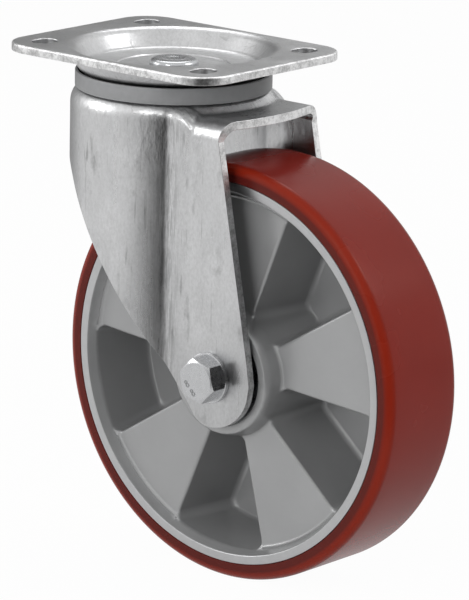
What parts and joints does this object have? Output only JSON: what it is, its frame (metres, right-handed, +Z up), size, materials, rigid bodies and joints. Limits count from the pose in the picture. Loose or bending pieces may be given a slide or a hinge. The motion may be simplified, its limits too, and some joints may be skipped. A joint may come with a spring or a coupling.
{
  "type": "castor wheel",
  "caption": "Swivel castor with a zinc-plated top plate and pressed steel fork, and a cast aluminium wheel with a dark red polyurethane tread",
  "frame": {"origin": "centre of the plate's top mounting face, on the swivel axis", "axes": "+Z up, away from the wheel; +Y the direction of travel, so the wheel trails at -Y; +X along the axle, from the bolt's head towards the nut"},
  "size_m": [0.106, 0.2225, 0.245],
  "materials": {
    "zinc_plated_sheet": "bright zinc plate on rolled sheet with fine grain and light scratches",
    "zinc_plated_pin": "bright zinc plate on cold-headed steel",
    "bearing_steel": "ground bearing steel",
    "cast_aluminium": "satin die-cast skin with a turned ring at the rim's face",
    "red_tread": "glossy cast polyurethane, slightly translucent at its corners",
    "grey_seal": "dark grey dull plastic",
    "black_rubber": "dull black rubber",
    "cage_brass": "dull turned brass"
  },
  "bodies": {
    "plate": {"top_plate": "zinc_plated_sheet", "king_pin": "zinc_plated_pin", "lower_race": "zinc_plated_sheet"},
    "fork_body": {"fork": "zinc_plated_sheet", "dust_seal": "grey_seal", "axle_bolt": "zinc_plated_pin", "bolt_washer": "zinc_plated_pin", "nut_washer": "zinc_plated_pin", "axle_nut": "zinc_plated_pin", "axle_tube": "bearing_steel", "bearing_spacer": "bearing_steel", "near_inner_ring": "bearing_steel", "far_inner_ring": "bearing_steel", "near_distance_bush": "bearing_steel", "far_distance_bush": "bearing_steel"},
    "wheel_body": {"wheel_rim": "cast_aluminium", "tyre": "red_tread", "near_outer_ring": "bearing_steel", "far_outer_ring": "bearing_steel", "near_bearing_seals": "black_rubber", "far_bearing_seals": "black_rubber"},
    "upper_balls": {"upper_swivel_balls": "bearing_steel"},
    "lower_balls": {"lower_swivel_balls": "bearing_steel"},
    "near_cage_body": {"near_bearing_balls": "bearing_steel", "near_ball_cage": "cage_brass"},
    "far_cage_body": {"far_bearing_balls": "bearing_steel", "far_ball_cage": "cage_brass"}
  },
  "joints": [
    {"name": "swivel", "type": "hinge", "parent": "plate", "child": "fork_body", "pos_m": [0, 0, -0.019], "axis": [0, 0, 1], "continuous": true},
    {"name": "wheel_spin", "type": "hinge", "parent": "fork_body", "child": "wheel_body", "pos_m": [0, -0.057, -0.145], "axis": [1, 0, 0], "continuous": true},
    {"name": "upper_ball_roll", "type": "hinge", "parent": "plate", "child": "upper_balls", "pos_m": [0, 0, -0.016], "axis": [0, 0, 1], "continuous": true},
    {"name": "lower_ball_roll", "type": "hinge", "parent": "plate", "child": "lower_balls", "pos_m": [0, 0, -0.026], "axis": [0, 0, 1], "continuous": true},
    {"name": "near_cage_roll", "type": "hinge", "parent": "fork_body", "child": "near_cage_body", "pos_m": [-0.021, -0.057, -0.145], "axis": [1, 0, 0], "continuous": true},
    {"name": "far_cage_roll", "type": "hinge", "parent": "fork_body", "child": "far_cage_body", "pos_m": [0.021, -0.057, -0.145], "axis": [1, 0, 0], "continuous": true}
  ],
  "couplings": [
    {"joint": "upper_ball_roll", "follows": "swivel", "ratio": 0.5},
    {"joint": "lower_ball_roll", "follows": "swivel", "ratio": 0.5},
    {"joint": "near_cage_roll", "follows": "wheel_spin", "ratio": 0.6119},
    {"joint": "far_cage_roll", "follows": "wheel_spin", "ratio": 0.6119}
  ]
}
